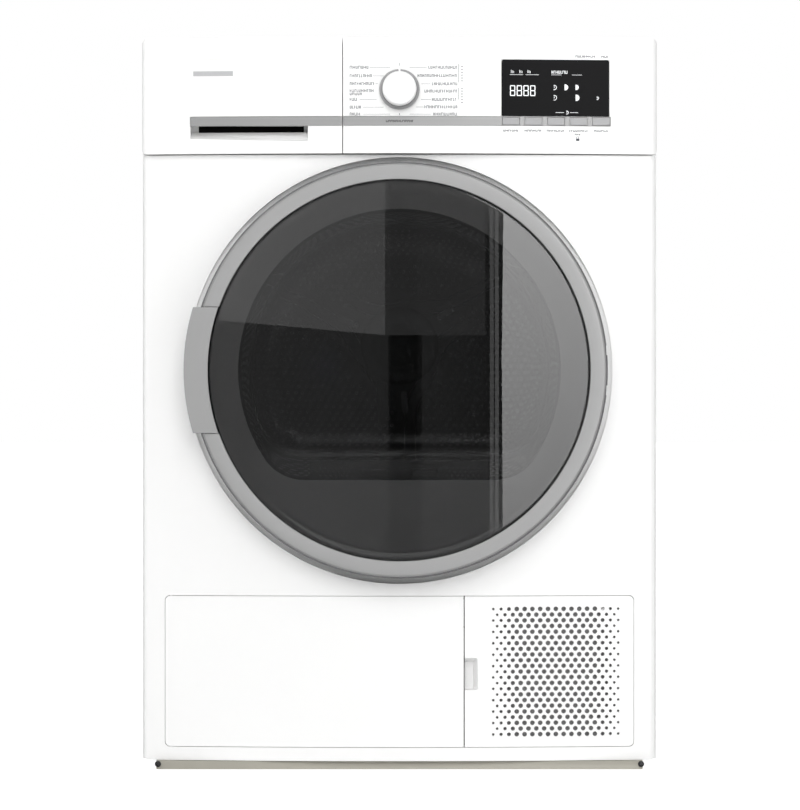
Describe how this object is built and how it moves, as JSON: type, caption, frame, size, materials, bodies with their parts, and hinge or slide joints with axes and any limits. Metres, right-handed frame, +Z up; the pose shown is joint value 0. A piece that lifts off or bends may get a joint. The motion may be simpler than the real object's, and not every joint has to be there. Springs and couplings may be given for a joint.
{
  "type": "clothes dryer",
  "caption": "Free-standing front-loading heat-pump clothes dryer with a round glass door, water drawer, dial, display, kick plate and air grille.",
  "frame": {"origin": "on the floor under the middle of the case", "axes": "+X to the right of someone facing the door, -Y to the front, +Z up"},
  "size_m": [0.596, 0.609, 0.845],
  "materials": {
    "white_paint": "gloss enamel",
    "white_plastic": "satin white",
    "knob_white": "satin white with a grey skirt",
    "grey_lacquer": "silver grey satin lacquer",
    "key_grey": "light grey satin",
    "smoked_glass": "smoked, polished",
    "display_lens": "dark, polished",
    "clear_glass": "clear, polished",
    "dark_plastic": "fine grain",
    "latch_grey": "fine grain",
    "stainless": "brushed",
    "steel": "plain",
    "zinc_sheet": "galvanised",
    "cast_bearing": "die cast",
    "aluminium_fin": "bright sheet",
    "black_paint": "satin black",
    "rubber": "matt",
    "beige_plastic": "fine grain",
    "bulkhead_plastic": "fine grain",
    "tank_plastic": "milky",
    "board_green": "solder resist"
  },
  "bodies": {
    "cabinet": {"base_tray": "beige_plastic", "left_side_panel": "white_paint", "right_side_panel": "white_paint", "worktop": "white_plastic", "rear_panel": "zinc_sheet", "rear_duct_cover": "zinc_sheet", "rear_bearing": "cast_bearing", "cable_gland": "dark_plastic", "front_panel": "white_paint", "grille_panel": "white_plastic", "control_fascia": "white_plastic", "fascia_trim": "grey_lacquer", "display_window": "display_lens", "control_board": "board_green", "tank_bay": "zinc_sheet", "hinge_bracket": "steel", "door_lock": "dark_plastic", "door_seal": "rubber", "front_bulkhead": "bulkhead_plastic", "lint_filter": "dark_plastic", "drive_belt": "rubber", "motor_housing": "zinc_sheet", "fan_housing": "dark_plastic", "evaporator": "aluminium_fin", "condenser": "aluminium_fin", "exchanger_cover": "dark_plastic", "compressor": "black_paint"},
    "door": {"door_ring": "grey_lacquer", "door_glass": "smoked_glass", "door_inner_frame": "dark_plastic", "door_bowl": "clear_glass", "door_handle": "grey_lacquer", "door_hook": "steel", "hinge_pin": "steel"},
    "water_drawer": {"drawer_front": "white_plastic", "drawer_trim": "grey_lacquer", "water_tank": "tank_plastic"},
    "selector": {"selector_knob": "knob_white"},
    "kick_door": {"kick_plate": "white_plastic"},
    "drum": {"drum_shell": "stainless", "drum_back": "stainless", "drum_shaft": "steel"},
    "roller_left": {"roller_left": "rubber"},
    "roller_right": {"roller_right": "rubber"},
    "motor_rotor": {"motor_shaft": "steel", "fan_wheel": "bulkhead_plastic"},
    "tensioner": {"tensioner_arm": "zinc_sheet"},
    "idler": {"idler_pulley": "bulkhead_plastic"},
    "cooling_rotor": {"cooling_fan": "bulkhead_plastic"},
    "latch_left": {"exchanger_latch_left": "latch_grey"},
    "latch_right": {"exchanger_latch_right": "latch_grey"},
    "button_1": {"option_button_1": "key_grey"},
    "button_2": {"option_button_2": "key_grey"},
    "button_3": {"option_button_3": "key_grey"},
    "button_4": {"option_button_4": "key_grey"},
    "button_5": {"option_button_5": "key_grey"},
    "foot_front_left": {"foot_front_left": "rubber"},
    "foot_front_right": {"foot_front_right": "rubber"},
    "foot_rear_left": {"foot_rear_left": "rubber"},
    "foot_rear_right": {"foot_rear_right": "rubber"}
  },
  "joints": [
    {"name": "door_hinge", "type": "hinge", "parent": "cabinet", "child": "door", "pos_m": [0.228, -0.283, 0.4615], "axis": [0, 0, 1], "range_deg": [0, 130]},
    {"name": "drawer_slide", "type": "slide", "parent": "cabinet", "child": "water_drawer", "axis": [0, -1, 0], "range_m": [0, 0.35]},
    {"name": "selector_turn", "type": "hinge", "parent": "cabinet", "child": "selector", "pos_m": [0, -0.277, 0.7847], "axis": [0, 1, 0], "continuous": true},
    {"name": "kick_door_swing", "type": "hinge", "parent": "cabinet", "child": "kick_door", "pos_m": [-0.264, -0.2559, 0.114], "axis": [0, 0, -1], "range_deg": [0, 100]},
    {"name": "drum_spin", "type": "hinge", "parent": "cabinet", "child": "drum", "pos_m": [0, 0, 0.5], "axis": [0, 1, 0], "continuous": true},
    {"name": "motor_spin", "type": "hinge", "parent": "cabinet", "child": "motor_rotor", "pos_m": [0.15, 0.1, 0.118], "axis": [0, 1, 0], "continuous": true},
    {"name": "roller_left_spin", "type": "hinge", "parent": "cabinet", "child": "roller_left", "pos_m": [-0.1634, -0.19, 0.2385], "axis": [0, 1, 0], "continuous": true},
    {"name": "roller_right_spin", "type": "hinge", "parent": "cabinet", "child": "roller_right", "pos_m": [0.1634, -0.19, 0.2385], "axis": [0, 1, 0], "continuous": true},
    {"name": "tensioner_swing", "type": "hinge", "parent": "cabinet", "child": "tensioner", "pos_m": [0, 0.075, 0.118], "axis": [0, 1, 0], "range_deg": [0, 12], "stiffness_Nm_per_rad": 2, "springref_deg": -11.46},
    {"name": "idler_spin", "type": "hinge", "parent": "tensioner", "child": "idler", "pos_m": [0.066, 0.065, 0.1252], "axis": [0, 1, 0], "continuous": true},
    {"name": "cooling_fan_spin", "type": "hinge", "parent": "cabinet", "child": "cooling_rotor", "pos_m": [0.18, -0.214, 0.112], "axis": [0, 1, 0], "continuous": true},
    {"name": "latch_left_turn", "type": "hinge", "parent": "cabinet", "child": "latch_left", "pos_m": [-0.238, -0.234, 0.108], "axis": [0, 1, 0], "range_deg": [0, 90]},
    {"name": "latch_right_turn", "type": "hinge", "parent": "cabinet", "child": "latch_right", "pos_m": [-0.062, -0.234, 0.108], "axis": [0, -1, 0], "range_deg": [0, 90]},
    {"name": "button_1_press", "type": "slide", "parent": "cabinet", "child": "button_1", "axis": [0, 1, 0], "range_m": [0, 0.0015], "stiffness_N_per_m": 600, "springref_m": -0.001},
    {"name": "button_2_press", "type": "slide", "parent": "cabinet", "child": "button_2", "axis": [0, 1, 0], "range_m": [0, 0.0015], "stiffness_N_per_m": 600, "springref_m": -0.001},
    {"name": "button_3_press", "type": "slide", "parent": "cabinet", "child": "button_3", "axis": [0, 1, 0], "range_m": [0, 0.0015], "stiffness_N_per_m": 600, "springref_m": -0.001},
    {"name": "button_4_press", "type": "slide", "parent": "cabinet", "child": "button_4", "axis": [0, 1, 0], "range_m": [0, 0.0015], "stiffness_N_per_m": 600, "springref_m": -0.001},
    {"name": "button_5_press", "type": "slide", "parent": "cabinet", "child": "button_5", "axis": [0, 1, 0], "range_m": [0, 0.0015], "stiffness_N_per_m": 600, "springref_m": -0.001},
    {"name": "foot_front_left_height", "type": "slide", "parent": "cabinet", "child": "foot_front_left", "axis": [0, 0, -1], "range_m": [0, 0.012]},
    {"name": "foot_front_right_height", "type": "slide", "parent": "cabinet", "child": "foot_front_right", "axis": [0, 0, -1], "range_m": [0, 0.012]},
    {"name": "foot_rear_left_height", "type": "slide", "parent": "cabinet", "child": "foot_rear_left", "axis": [0, 0, -1], "range_m": [0, 0.012]},
    {"name": "foot_rear_right_height", "type": "slide", "parent": "cabinet", "child": "foot_rear_right", "axis": [0, 0, -1], "range_m": [0, 0.012]}
  ],
  "couplings": [
    {"joint": "motor_spin", "follows": "drum_spin", "ratio": 24.1},
    {"joint": "idler_spin", "follows": "drum_spin", "ratio": -13.07},
    {"joint": "roller_left_spin", "follows": "drum_spin", "ratio": -9.27},
    {"joint": "roller_right_spin", "follows": "drum_spin", "ratio": -9.27}
  ]
}
